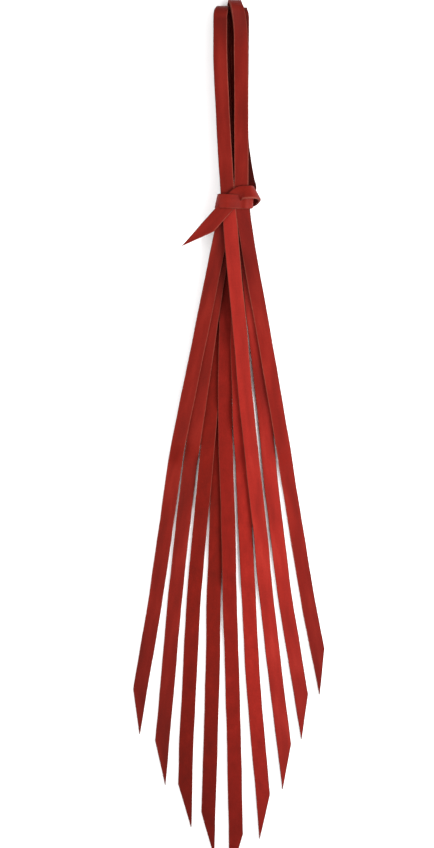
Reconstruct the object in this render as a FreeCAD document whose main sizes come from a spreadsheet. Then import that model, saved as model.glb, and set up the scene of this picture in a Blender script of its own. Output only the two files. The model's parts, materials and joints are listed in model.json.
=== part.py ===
import FreeCAD, Part
import math
import os
import Sketcher

# A tassel of nine flat leather tails. Five laces are folded in half: three make the left stack of
# loops, two the right one. Nine of the ten ends fan out as tails. The tenth is taken once round
# the whole bundle, through its own bight, and pulled tight, which leaves a short tie end.
#
# Frame, in millimetres: the origin is the centre of the knot's underside. +Y runs towards the
# loops, -Y down the tails, +X to the right, and +Z up through the thickness. The piece lies flat
# on Z = 0. A route is a list of (y, x) points on a strap's centre line. Heights are (y, layer)
# pairs: layer 0 lies on the ground, and each layer is one layer_pitch above the last.

SIZES = [
    ("strap_width", 10.0),
    ("strap_thick", 2.2),
    ("layer_pitch", 2.5),      # one thickness and the clearance to the next strap
    ("gap", 0.3),
    ("point_length", 32.5),    # length of the slanted cut at the end of a tail
    ("neck_top", 10.7),        # top of the fixed stretch of each strap
    ("loop_base", 11.3),       # lowest point of the loops
    ("loop_tilt", 1.05),       # degrees that the stacks of loops lean down to the ground
    ("tie_leg_top", 45.0),     # where the tying leg parts from its loop
    ("wrap_left", 15.2),       # outer faces of the knot's turn, from the centre
    ("wrap_right", 18.2),
    ("under_pass", 17.6),      # height of the strand below the riding turn
    ("riding_turn", 20.1),     # height of the strand that rides over it
    ("riding_start", 15.4),
    ("tie_x", 9.0),            # root of the tie end, left of and below the centre
    ("tie_y", 8.9),
    ("tie_angle", 41.8),       # degrees between the tie end and the tails
    ("tie_short", 15.0),       # lengths of its two edges
    ("tie_long", 38.9),
    ("tie_neck_left", 12.5),   # where the strand inside the knot starts to slant, left and right
    ("tie_neck_right", 0.9),
    ("riser_x", 11.5),         # inner face of the stretch where the tying leg turns up
]

NOSE_SHARE = 0.48              # radius of a hinged root, as a share of the strap's thickness

LEFT, RIGHT = -1, 1
LEFT_COLUMN, RIGHT_COLUMN = -6.1, 4.7

# Per tail: its column in the knot, the distance from the knot to the hinge line and the offset
# there, the same for the shoulder of the slanted cut and the side that the shoulder is on, the
# bends of the route above and below the hinge line, and the heights below the knot.
TAILS = {
    "tail_1": dict(
        column=LEFT_COLUMN, split=203.5, split_x=-45.5, shoulder=363.3, shoulder_x=-70.4,
        side=LEFT, neck=[(-8.2, -6.6)], free=[(-297, -59.3)],
        layers=[(-10, 5), (-50, 4), (-78, 4), (-100, 3), (-178, 3), (-200, 0)]),
    "tail_2": dict(
        column=LEFT_COLUMN, split=205, split_x=-34.5, shoulder=401.1, shoulder_x=-53.7,
        side=LEFT, neck=[(-8.2, -5.2)], free=[(-297, -44.6)],
        layers=[(-10, 4), (-45, 3), (-78, 3), (-100, 2), (-176, 2), (-194, 0)]),
    "tail_3": dict(
        column=LEFT_COLUMN, split=240, split_x=-25.7, shoulder=432.9, shoulder_x=-36.4,
        side=LEFT, neck=[(-8.2, -5.6)], free=[(-297, -30.6)],
        layers=[(-10, 2), (-35, 1), (-218, 1), (-232, 0)]),
    "tail_4": dict(
        column=LEFT_COLUMN, split=300, split_x=-15.9, shoulder=453.6, shoulder_x=-20.2,
        side=LEFT, neck=[(-8.2, -5.4)], free=[],
        layers=[(-10, 1), (-30, 0)]),
    "tail_5": dict(
        column=LEFT_COLUMN, split=305, split_x=-3.6, shoulder=469.9, shoulder_x=0.9,
        side=RIGHT, neck=[(-8.2, -4.8), (-150, -6.2)], free=[],
        layers=[(-10, 3), (-40, 2), (-145, 2), (-165, 1), (-280, 1), (-296, 0)]),
    "tail_6": dict(
        column=RIGHT_COLUMN, split=272, split_x=8.9, shoulder=441.0, shoulder_x=20.8,
        side=RIGHT, neck=[(-8.2, 5.6), (-60, 5.3), (-100, 2.0)], free=[(-356, 13.4)],
        layers=[(-12, 1), (-62, 3.04), (-150, 3.04), (-170, 2), (-200, 0)]),
    "tail_7": dict(
        column=LEFT_COLUMN, split=275, split_x=21.1, shoulder=404.0, shoulder_x=36.0,
        side=RIGHT, neck=[(-8.2, -4.6), (-56, -1.8)], free=[(-340, 28.2)],
        layers=[(-10, 6), (-150, 4.16), (-215, 1.08), (-250, 1.04), (-267, 0)]),
    "tail_8": dict(
        column=RIGHT_COLUMN, split=205, split_x=26.2, shoulder=367.0, shoulder_x=48.9,
        side=RIGHT, neck=[(-8.2, 5.8)], free=[(-297, 37.2)],
        layers=[(-10, 5), (-45, 4.08), (-85, 4.08), (-130, 1), (-150, 0)]),
    "tail_9": dict(
        column=RIGHT_COLUMN, split=205, split_x=38.9, shoulder=333.7, shoulder_x=60.9,
        side=RIGHT, neck=[(-8.2, 5.8)], free=[(-297, 53.7)],
        layers=[(-10, 6), (-45, 5.1), (-85, 5.1), (-130, 2.05), (-155, 1.05), (-183, 1.05),
                (-200, 0)]),
}

# Per loop: the layers of its back and front legs, the top of its fold and its route.
LEFT_ROUTE = [(44, -8.3), (73, -9.8), (103, -11.3), (150, -11.3)]
RIGHT_ROUTE = [(100, 4.2), (128, 3.9), (150, 0.4)]
LOOPS = {
    "left_loop_outer": dict(column=LEFT_COLUMN, back=1, front=6, top=142.8, route=LEFT_ROUTE),
    "left_loop_middle": dict(column=LEFT_COLUMN, back=2, front=5, top=140.3, route=LEFT_ROUTE),
    "left_loop_inner": dict(column=LEFT_COLUMN, back=3, front=4, top=137.8, route=LEFT_ROUTE),
    "right_loop_outer": dict(column=RIGHT_COLUMN, back=1, front=6, top=147.3, route=RIGHT_ROUTE),
    "right_loop_inner": dict(
        column=RIGHT_COLUMN, back=2, front=5, top=141.0, back_base="sizes.tie_leg_top",
        route=[(45, 4.8), (100, 5.0), (130, 5.4), (150, 5.0)]),
}
TIE_LEG_LAYER = 2
TIE_LEG_ROUTE = [(45, 4.8), (30, 6.6), (11.3, 10.4)]

YZ_TURN = FreeCAD.Rotation(FreeCAD.Vector(1, 1, 1), 120)
ACROSS = 400.0             # wider than the whole fan, for cutting tools
STACK = 40.0               # taller than the whole stack, for cutting tools

doc = FreeCAD.newDocument("tassel")
sheet = doc.addObject("Spreadsheet::Sheet", "sizes")
parts = []


def fill_sheet():
    """Write each driving dimension beside its name, and the lengths of each tail."""
    rows = list(SIZES)
    for name, tail in TAILS.items():
        rows.append((name + "_split", tail["split"]))
        rows.append((name + "_shoulder", tail["shoulder"]))
    for name, loop in LOOPS.items():
        rows.append((name + "_top", loop["top"]))
    for row, (name, value) in enumerate(rows, start=1):
        sheet.set("A%d" % row, name)
        sheet.set("B%d" % row, str(value))
        sheet.setAlias("B%d" % row, name)
    doc.recompute()


def bind(sketch, kind, geometry, point, text):
    """Tie one coordinate of a sketch point to an expression of the sheet."""
    value = float(sketch.evalExpression(text))
    index = sketch.addConstraint(Sketcher.Constraint(kind, -1, 1, geometry, point, value))
    sketch.setExpression("Constraints[%d]" % index, text)


def pin(sketch, geometry, point, corner):
    """Tie both coordinates of a sketch point."""
    bind(sketch, "DistanceX", geometry, point, corner[0])
    bind(sketch, "DistanceY", geometry, point, corner[1])


def polygon(sketch, corners):
    """Draw a closed outline through corners, each a pair of expressions."""
    spots = [FreeCAD.Vector(*(float(sketch.evalExpression(text)) for text in corner))
             for corner in corners]
    count = len(spots)
    for index in range(count):
        sketch.addGeometry(Part.LineSegment(spots[index], spots[(index + 1) % count]))
    for index in range(count):
        sketch.addConstraint(Sketcher.Constraint("Coincident", index, 2, (index + 1) % count, 1))
    for index, corner in enumerate(corners):
        pin(sketch, index, 1, corner)


def number(value):
    """Return what a number or an expression of the sheet comes to."""
    return float(sheet.evalExpression(str(value)))


def secants(route):
    """Return, for each point of a route, how much wider the strap is along X than square on."""
    heights = [number(y) for y, x in route]
    slopes = [(b[1] - a[1]) / (y_b - y_a)
              for a, b, y_a, y_b in zip(route, route[1:], heights, heights[1:])]
    before = slopes[:1] + slopes
    after = slopes + slopes[-1:]
    return [math.hypot(1, (a + b) / 2) for a, b in zip(before, after)]


def edge(route, side):
    """Return the corners along one edge of a strap, from its first point to its last."""
    return [("%.3f + %d * sizes.strap_width / 2 * %.5f" % (x, side, wide), str(y))
            for (y, x), wide in zip(route, secants(route))]


def flat_sketch(name):
    """Start a sketch on the ground, X right and Y up the strap."""
    return doc.addObject("Sketcher::SketchObject", name)


def side_sketch(name):
    """Start a sketch in the YZ plane, its own X along Y and its own Y along Z."""
    sketch = doc.addObject("Sketcher::SketchObject", name)
    sketch.Placement = FreeCAD.Placement(FreeCAD.Vector(), YZ_TURN)
    return sketch


def extrude(sketch, direction, length, both_ways):
    """Extrude a sketch into a solid."""
    solid = doc.addObject("Part::Extrusion", sketch.Name + "_solid")
    solid.Base = sketch
    solid.DirMode = "Custom"
    solid.Dir = direction
    solid.Solid = True
    solid.Symmetric = both_ways
    solid.LengthFwd = length
    return solid


def common(name, plan, side):
    """Keep what a plan outline and a side view share, which is one bent strap."""
    tool = extrude(plan, FreeCAD.Vector(0, 0, 1), STACK, False)
    profile = extrude(side, FreeCAD.Vector(1, 0, 0), ACROSS, True)
    strap = doc.addObject("Part::Common", name)
    strap.Base = tool
    strap.Tool = profile
    strap.Label = name
    parts.append(strap)
    return strap


def layer_height(layer):
    """Return the height of a layer's underside, as an expression."""
    return "%s * sizes.layer_pitch" % layer


def strap_between(name, route, layers):
    """Build a strap that follows a route in plan and a list of heights in side view."""
    plan = flat_sketch(name + "_plan")
    polygon(plan, edge(route, LEFT) + edge(route, RIGHT)[::-1])
    side = side_sketch(name + "_side")
    under = [(str(y), layer_height(layer)) for y, layer in layers]
    over = [(y, z + " + sizes.strap_thick") for y, z in under]
    polygon(side, under + over[::-1])
    return common(name, plan, side)


def neck(name, tail):
    """Build the fixed stretch of a tail, from the top of the knot to its hinge line."""
    top = "sizes.neck_top"
    end = "-sizes.%s_split + sizes.gap" % name
    route = [(top, tail["column"])] + tail["neck"] + [(end, tail["split_x"])]
    layers = [(top, tail["layers"][0][1])] + tail["layers"] + [(end, tail["layers"][-1][1])]
    return strap_between(name.replace("tail", "neck"), route, layers)


def origin_plane(body, role):
    """Find one of a body's own origin planes."""
    return next(item for item in body.Origin.OriginFeatures if item.Role == role)


def body_with_sketch(name, role):
    """Start a body with a sketch on one of its origin planes."""
    body = doc.addObject("PartDesign::Body", name)
    body.Label = name
    sketch = body.newObject("Sketcher::SketchObject", name + "_outline")
    sketch.AttachmentSupport = (origin_plane(body, role), "")
    sketch.MapMode = "FlatFace"
    doc.recompute()
    parts.append(body)
    return body, sketch


def pad(body, sketch, text, both_ways=False):
    """Pad a sketch by a length from the sheet."""
    feature = body.newObject("PartDesign::Pad", body.Name + "_pad")
    feature.Profile = sketch
    feature.SideType = "Symmetric" if both_ways else "One side"
    feature.setExpression("Length", text)
    doc.recompute()
    return feature


def round_nose(body, feature, nose_y):
    """Round the two long edges of a free end's root, so that it turns about its own hinge line."""
    names = []
    for index, item in enumerate(feature.Shape.Edges, start=1):
        ends = [vertex.Point for vertex in item.Vertexes]
        at_nose = all(abs(spot.y - nose_y) < 1e-3 for spot in ends)
        if at_nose and abs(ends[0].z - ends[1].z) < 1e-3:
            names.append("Edge%d" % index)
    nose = body.newObject("PartDesign::Fillet", body.Name + "_nose")
    nose.Base = (feature, names)
    nose.setExpression("Radius", "sizes.strap_thick * %s" % NOSE_SHARE)
    doc.recompute()


def free_tail(name, tail):
    """Build the free end of a tail: a flat strap with a slanted, one-sided point."""
    shoulder = "-sizes.%s_shoulder" % name
    route = [("-sizes.%s_split" % name, tail["split_x"])] + tail["free"]
    route.append((shoulder, tail["shoulder_x"]))
    (y_a, x_a), (y_b, x_b) = [(number(y), x) for y, x in route[-2:]]
    slope = (x_b - x_a) / (y_b - y_a)
    tip_x = x_b - slope * sheet.point_length
    long_side = edge(route + [(shoulder + " - sizes.point_length", tip_x)], -tail["side"])
    short_side = edge(route, tail["side"])
    body, sketch = body_with_sketch(name, "XY_Plane")
    polygon(sketch, long_side + short_side[::-1])
    feature = pad(body, sketch, "sizes.strap_thick")
    round_nose(body, feature, -tail["split"])


def tie_end():
    """Build the short tie end that leaves the knot at its lower left."""
    body, sketch = body_with_sketch("tie_end", "XY_Plane")
    polygon(sketch, [
        ("-sizes.strap_width / 2", "0"),
        ("sizes.strap_width / 2", "0"),
        ("sizes.strap_width / 2", "-sizes.tie_short"),
        ("-sizes.strap_width / 2", "-sizes.tie_long"),
    ])
    feature = pad(body, sketch, "sizes.strap_thick")
    round_nose(body, feature, 0.0)
    body.Placement = FreeCAD.Placement(
        FreeCAD.Vector(-sheet.tie_x, -sheet.tie_y, sheet.under_pass),
        FreeCAD.Rotation(FreeCAD.Vector(0, 0, 1), -sheet.tie_angle))


def tie_neck():
    """Build the slanted stretch between the knot's under-pass and the tie end."""
    sine, cosine = "sin(sizes.tie_angle * 1deg)", "cos(sizes.tie_angle * 1deg)"
    end_x = "-sizes.tie_x + sizes.gap * " + sine
    end_y = "-sizes.tie_y + sizes.gap * " + cosine
    half = "sizes.strap_width / 2 * "
    body, sketch = body_with_sketch("tie_neck", "XY_Plane")
    polygon(sketch, [
        ("-sizes.tie_neck_left", "-sizes.strap_width / 2"),
        ("sizes.tie_neck_right", "-sizes.strap_width / 2"),
        (end_x + " + " + half + cosine, end_y + " - " + half + sine),
        (end_x + " - " + half + cosine, end_y + " + " + half + sine),
    ])
    pad(body, sketch, "sizes.strap_thick")
    body.Placement.Base = FreeCAD.Vector(0, 0, sheet.under_pass)


def knot_wrap():
    """Build the turn round the bundle: over the front, down the left, behind, up, and under."""
    left, right = "-sizes.wrap_left", "sizes.wrap_right"
    thick = "sizes.strap_thick"
    ride, under = "sizes.riding_turn", "sizes.under_pass"
    inner_left = "%s + %s" % (left, thick)
    inner_right = "%s - %s" % (right, thick)
    under_end = "%s + %s + sizes.gap" % (left, thick)
    body, sketch = body_with_sketch("knot_wrap", "XZ_Plane")
    polygon(sketch, [
        ("sizes.riding_start", "%s + %s" % (ride, thick)),
        (left, "%s + %s" % (ride, thick)),
        (left, "0"),
        (right, "0"),
        (right, "%s + %s" % (under, thick)),
        (under_end, "%s + %s" % (under, thick)),
        (under_end, under),
        (inner_right, under),
        (inner_right, thick),
        (inner_left, thick),
        (inner_left, ride),
        ("sizes.riding_start", ride),
    ])
    pad(body, sketch, "sizes.strap_width", both_ways=True)


def tie_riser():
    """Build the stretch where the tying leg turns up to become the riding turn."""
    riser = doc.addObject("Part::Box", "tie_riser")
    riser.Label = "tie_riser"
    riser.setExpression("Length", "sizes.strap_thick")
    riser.setExpression("Width", "sizes.neck_top - sizes.strap_width / 2 - 2 * sizes.gap")
    riser.setExpression("Height", "sizes.riding_turn - %d * sizes.layer_pitch + sizes.strap_thick"
                        % TIE_LEG_LAYER)
    riser.Placement.Base = FreeCAD.Vector(
        sheet.riser_x, sheet.strap_width / 2 + sheet.gap, TIE_LEG_LAYER * sheet.layer_pitch)
    parts.append(riser)


def lean(strap):
    """Lean a part of the loops down to the ground about their hinge line."""
    hinge = FreeCAD.Vector(0, sheet.loop_base - sheet.gap,
                           6 * sheet.layer_pitch + sheet.strap_thick)
    turn = FreeCAD.Rotation(FreeCAD.Vector(1, 0, 0), -sheet.loop_tilt)
    strap.Placement = FreeCAD.Placement(FreeCAD.Vector(), turn, hinge)


def fold_profile(name, loop):
    """Draw a folded lace in side view: a back leg, a round fold and a front leg."""
    low, high = layer_height(loop["back"]), layer_height(loop["front"])
    thick = "sizes.strap_thick"
    radius = "(%s + %s - %s) / 2" % (high, thick, low)
    centre = "sizes.%s_top - %s" % (name, radius)
    middle = "(%s + %s + %s) / 2" % (high, thick, low)
    back_base = loop.get("back_base", "sizes.loop_base")
    corners = [
        (back_base, low),
        (centre, low),
        (centre, "%s + %s" % (high, thick)),
        ("sizes.loop_base", "%s + %s" % (high, thick)),
        ("sizes.loop_base", high),
        (centre, high),
        (centre, "%s + %s" % (low, thick)),
        (back_base, "%s + %s" % (low, thick)),
    ]
    side = side_sketch(name + "_side")
    spots = [FreeCAD.Vector(*(float(side.evalExpression(text)) for text in corner))
             for corner in corners]
    hub = FreeCAD.Vector(spots[1].x, float(side.evalExpression(middle)))
    arcs = {1: spots[2].y - hub.y, 5: spots[5].y - hub.y}
    for index, spot in enumerate(spots):
        if index in arcs:
            round_edge = Part.Circle(hub, FreeCAD.Vector(0, 0, 1), arcs[index])
            side.addGeometry(Part.ArcOfCircle(round_edge, -math.pi / 2, math.pi / 2))
        else:
            side.addGeometry(Part.LineSegment(spot, spots[(index + 1) % len(spots)]))
    # The outer fold runs from back to front and the inner fold from front to back.
    starts = {5: 2}
    ends = {5: 1}
    for index in range(len(spots)):
        after = (index + 1) % len(spots)
        side.addConstraint(Sketcher.Constraint(
            "Coincident", index, ends.get(index, 2), after, starts.get(after, 1)))
    for index, corner in enumerate(corners):
        pin(side, index, starts.get(index, 1), corner)
    for index in arcs:
        bind(side, "DistanceX", index, 3, centre)
    return side


def loop_part(name, loop):
    """Build one folded lace above the knot."""
    plan = flat_sketch(name + "_plan")
    route = [(5.0, loop["column"])] + loop["route"]
    polygon(plan, edge(route, LEFT) + edge(route, RIGHT)[::-1])
    lean(common(name, plan, fold_profile(name, loop)))


def tie_leg():
    """Build the leg of the inner right loop that leaves its stack to tie the knot."""
    layers = [(TIE_LEG_ROUTE[0][0], TIE_LEG_LAYER), (TIE_LEG_ROUTE[-1][0], TIE_LEG_LAYER)]
    lean(strap_between("tie_leg", TIE_LEG_ROUTE, layers))


def check_and_write():
    """Stop on any failed object or bad solid, then write one STEP file for each part."""
    doc.recompute()
    for item in doc.Objects:
        if "Invalid" in item.State or "Error" in item.State:
            raise RuntimeError("failed object: " + item.Name)
    os.makedirs("parts", exist_ok=True)
    for item in parts:
        shape = item.Shape
        if shape.isNull() or not shape.isValid() or len(shape.Solids) != 1:
            raise RuntimeError("bad shape: " + item.Label)
        shape.exportStep(os.path.join("parts", item.Label + ".step"))
        box = shape.BoundBox
        print("%-18s %8.0f mm3  y %7.1f to %6.1f  z %5.1f to %5.1f" % (
            item.Label, shape.Volume, box.YMin, box.YMax, box.ZMin, box.ZMax))


fill_sheet()
for loop_name, loop_sizes in LOOPS.items():
    loop_part(loop_name, loop_sizes)
tie_leg()
for tail_name, tail_sizes in TAILS.items():
    neck(tail_name, tail_sizes)
    free_tail(tail_name, tail_sizes)
knot_wrap()
tie_riser()
tie_neck()
tie_end()
check_and_write()
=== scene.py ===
"""Looks of a red leather tassel: five folded laces, tied with their own end into nine tails."""

import json
import logging
import math
from dataclasses import dataclass, field
from enum import Enum
from typing import Any, Sequence

import bpy
import numpy as np
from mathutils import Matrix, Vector


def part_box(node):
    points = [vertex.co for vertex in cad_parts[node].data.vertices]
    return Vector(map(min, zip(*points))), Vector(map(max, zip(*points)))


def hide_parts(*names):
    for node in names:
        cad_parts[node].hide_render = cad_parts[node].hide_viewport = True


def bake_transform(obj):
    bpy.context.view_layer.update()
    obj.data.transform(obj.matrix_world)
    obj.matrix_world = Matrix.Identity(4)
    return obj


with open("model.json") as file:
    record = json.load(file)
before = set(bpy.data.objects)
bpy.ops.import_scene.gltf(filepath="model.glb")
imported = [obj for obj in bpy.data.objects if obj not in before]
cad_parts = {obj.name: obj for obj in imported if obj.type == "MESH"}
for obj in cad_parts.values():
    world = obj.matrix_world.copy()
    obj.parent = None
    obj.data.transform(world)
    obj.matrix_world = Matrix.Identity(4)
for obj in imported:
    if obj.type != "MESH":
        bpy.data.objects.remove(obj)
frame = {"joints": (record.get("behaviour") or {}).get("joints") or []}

LOG = logging.getLogger("tassel")
MM = 0.001
UV_NAME = "lace"
UV_PER_MM = 0.1  # one UV unit is 10 mm of lace
PITCH = 2.5  # one layer of lace and the air to the next, in millimetres
GRAIN_SHIFT = 37.0  # how far one lace's grain starts from the next one's, in millimetres
CORNER_POINTS = 4  # points that round each edge of a lace
TIP_WIDTH = 0.25  # what the knife leaves at a slanted point, in millimetres
UP = np.array([0.0, 0.0, 1.0])
RIGHTWARDS = np.array([1.0, 0.0, 0.0])

Pair = tuple[float, float]
Spot = tuple[float, float, float]
Knots = Sequence[Pair]
Stops = Sequence[tuple[float, str]]
Tree = bpy.types.NodeTree
Socket = bpy.types.NodeSocket
Piece = bpy.types.Object
Material = bpy.types.Material


# Curves ------------------------


def smooth_through(at: np.ndarray, knots: Knots) -> np.ndarray:
    """Follow given values with a smooth line that never overshoots them.

    Args:
        at: Where to read the line.
        knots: Place and value pairs, in either order of place.

    Returns:
        The value at each place, held level beyond the first and last pair.
    """
    places, values = np.array(sorted(knots), dtype=float).T
    steps = np.diff(places)
    chords = np.diff(values) / steps
    slopes = np.empty_like(values)
    slopes[0], slopes[-1] = chords[0], chords[-1]
    for index in range(1, len(values) - 1):
        before, after = chords[index - 1], chords[index]
        if before * after <= 0:
            slopes[index] = 0.0
            continue
        lean = 2 * steps[index] + steps[index - 1]
        rest = steps[index] + 2 * steps[index - 1]
        slopes[index] = (lean + rest) / (lean / before + rest / after)
    spots = np.clip(at, places[0], places[-1])
    cell = np.clip(np.searchsorted(places, spots, side="right") - 1, 0, len(steps) - 1)
    width = steps[cell]
    part = (spots - places[cell]) / width
    rest = 1 - part
    return (values[cell] * (1 + 2 * part) * rest**2
            + slopes[cell] * width * part * rest**2
            + values[cell + 1] * part**2 * (3 - 2 * part)
            - slopes[cell + 1] * width * part**2 * rest)


def soft_line(at: np.ndarray, knots: Knots, reach: float = 9.0) -> np.ndarray:
    """Follow straight runs between given places, with each bend spread over a length.

    Args:
        at: Where to read the line.
        knots: Place and value pairs, in either order of place. The end runs go on straight.
        reach: How far a bend spreads to each side, in millimetres.

    Returns:
        The value at each place.
    """
    places, values = np.array(sorted(knots), dtype=float).T
    far = 100.0  # the end runs go on straight this far, in millimetres
    readings = 9  # a bend is the mean of this many readings across its reach
    first = (values[1] - values[0]) / (places[1] - places[0])
    last = (values[-1] - values[-2]) / (places[-1] - places[-2])
    places = np.concatenate([[places[0] - far], places, [places[-1] + far]])
    values = np.concatenate([[values[0] - far * first], values, [values[-1] + far * last]])
    shifts = np.linspace(-reach, reach, readings)
    return np.mean([np.interp(at + shift, places, values) for shift in shifts], axis=0)


def spline_through(points: np.ndarray, step: float) -> np.ndarray:
    """Run a smooth curve through points in space or through matching rows of values.

    Args:
        points: One row per point. The first three columns are a place in millimetres.
        step: Distance between the rows returned, in millimetres.

    Returns:
        Rows along the curve, with the first and last point among them.
    """
    # The square root keeps the curve from swinging out where points stand close together.
    gaps = np.linalg.norm(np.diff(points[:, :3], axis=0), axis=1) ** 0.5
    times = np.concatenate([[0.0], np.cumsum(gaps)])
    slopes = np.gradient(points, times, axis=0)
    rows = []
    for index in range(len(points) - 1):
        span = times[index + 1] - times[index]
        length = np.linalg.norm(points[index + 1, :3] - points[index, :3])
        count = max(2, int(math.ceil(length / step)))
        part = np.linspace(0, 1, count, endpoint=False)[:, None]
        rest = 1 - part
        rows.append(points[index] * (1 + 2 * part) * rest**2
                    + slopes[index] * span * part * rest**2
                    + points[index + 1] * part**2 * (3 - 2 * part)
                    - slopes[index + 1] * span * part**2 * rest)
    rows.append(points[-1:])
    return np.vstack(rows)


def unit(rows: np.ndarray) -> np.ndarray:
    """Scale each row to a length of one."""
    return rows / np.linalg.norm(rows, axis=1, keepdims=True)


def distances(centres: np.ndarray) -> np.ndarray:
    """Return how far along a line each of its points is."""
    return np.concatenate([[0.0], np.cumsum(np.linalg.norm(np.diff(centres, axis=0), axis=1))])


def square_up(across: np.ndarray, tangents: np.ndarray) -> np.ndarray:
    """Turn across vectors until they stand square to a line's tangents."""
    slip = np.sum(across * tangents, axis=1, keepdims=True)
    return unit(across - slip * tangents)


@dataclass(frozen=True)
class Drift:
    """A slow, repeatable drift along a lace.

    Attributes:
        stream: Keeps its phases apart from those of the same lace's other drifts.
        size: Largest drift.
        wave: Length of the longest wave, in millimetres.
        parts: Share and rate of each wave in it.
    """

    stream: int
    size: float
    wave: float
    parts: tuple[Pair, ...] = ((0.55, 1.0), (0.3, 2.3), (0.15, 5.1))

    def along(self, at: np.ndarray, seed: int) -> np.ndarray:
        """Read the drift.

        Args:
            at: Places along the lace, in millimetres.
            seed: The lace's own number, so that no two laces drift alike.

        Returns:
            The drift at each place.
        """
        draw = np.random.default_rng(seed + self.stream)
        phases = draw.uniform(0, 2 * math.pi, len(self.parts))
        turns = 2 * math.pi * at / self.wave
        return self.size * sum(share * np.sin(rate * turns + phase)
                               for (share, rate), phase in zip(self.parts, phases))


def joint_of(body: str) -> dict[str, Any]:
    """Return the joint that a body turns on."""
    return next(joint for joint in frame["joints"] if joint["child"] == body)


# Finishes ------------------------

# A Mix node's colour inputs and output share their names with its other kinds, so they go by number.
FIRST_COLOUR = 6
SECOND_COLOUR = 7
MIXED_COLOUR = 2


def linear(code: str) -> tuple[float, float, float, float]:
    """Turn an sRGB hex colour into linear values.

    Args:
        code: Six hex digits.

    Returns:
        Red, green, blue and an alpha of one.
    """
    shares = [int(code[place:place + 2], 16) / 255 for place in (0, 2, 4)]
    red, green, blue = (
        share / 12.92 if share <= 0.04045 else ((share + 0.055) / 1.055) ** 2.4
        for share in shares)
    return red, green, blue, 1.0


def add_node(tree: Tree, kind: str, settings: dict[str | int, Any] | None = None,
             links: dict[str | int, Socket] | None = None,
             stops: Stops = ()) -> bpy.types.Node:
    """Add a node with its settings and links.

    Args:
        tree: The node tree.
        kind: The node's class name after "ShaderNode".
        settings: Values by property name or, failing that, by input name or number.
        links: Sockets to feed inputs from, by input name or number.
        stops: Place and sRGB hex colour of each stop, where the node is a colour ramp.

    Returns:
        The node.
    """
    node = tree.nodes.new("ShaderNode" + kind)
    for name, value in (settings or {}).items():
        if isinstance(name, str) and hasattr(node, name):
            setattr(node, name, value)
        else:
            node.inputs[name].default_value = value
    for name, socket in (links or {}).items():
        tree.links.new(socket, node.inputs[name])
    if stops:
        band = node.color_ramp.elements
        while len(band) < len(stops):
            band.new(1.0)
        for element, (place, code) in zip(band, stops):
            element.position = place
            element.color = linear(code)
    return node


def blank_material(name: str) -> tuple[Material, Tree]:
    """Start a material with an empty node tree."""
    material = bpy.data.materials.new(name)
    material.use_nodes = True
    material.node_tree.nodes.clear()
    return material, material.node_tree


def mark(tree: Tree, name: str) -> Socket:
    """Return a value that Ribbon.build wrote on the lace."""
    return add_node(tree, "Attribute", {"attribute_name": name}).outputs["Fac"]


def along_lace(tree: Tree, across: float, along: float) -> Socket:
    """Return lace coordinates, stretched for a pattern.

    Args:
        tree: The node tree.
        across: Size of one pattern cell across the lace, in millimetres.
        along: Size of one pattern cell down the lace, in millimetres.

    Returns:
        A vector socket.
    """
    place = add_node(tree, "UVMap", {"uv_map": UV_NAME})
    scale = (1 / (UV_PER_MM * across), 1 / (UV_PER_MM * along), 1.0)
    return add_node(tree, "Mapping", {"Scale": scale},
                    {"Vector": place.outputs["UV"]}).outputs["Vector"]


def darken_by_painted_shade(tree: Tree,
                   colour: Socket) -> Socket:
    """Darken a colour by painted shade: round the folds, at the points, below the knot and on the
    tying leg.

    Args:
        tree: The node tree.
        colour: The clean colour.

    Returns:
        The colour with its painted shade.
    """
    depth = add_node(tree, "MapRange", {"To Min": 1.0, "To Max": 0.45},
                     {"Value": mark(tree, "painted_shade")})
    return add_node(tree, "VectorMath", {"operation": "SCALE"},
                    {0: colour, "Scale": depth.outputs["Result"]}).outputs["Vector"]


class DyeAndLight(Enum):
    """Colour levels of one lace, each a shade, body and worn colour: partly how deeply the drum dye
    took, partly painted light, where a brighter level stands in for more light and a deeper one for
    shade.
    """

    DEEP = ("430902", "4E0B03", "5C1209")
    EVEN = ("510C05", "5D0E06", "6D170E")
    WARM = ("5B0E07", "67110A", "781B12")
    BRIGHT = ("6B140E", "791811", "8A231B")


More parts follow.
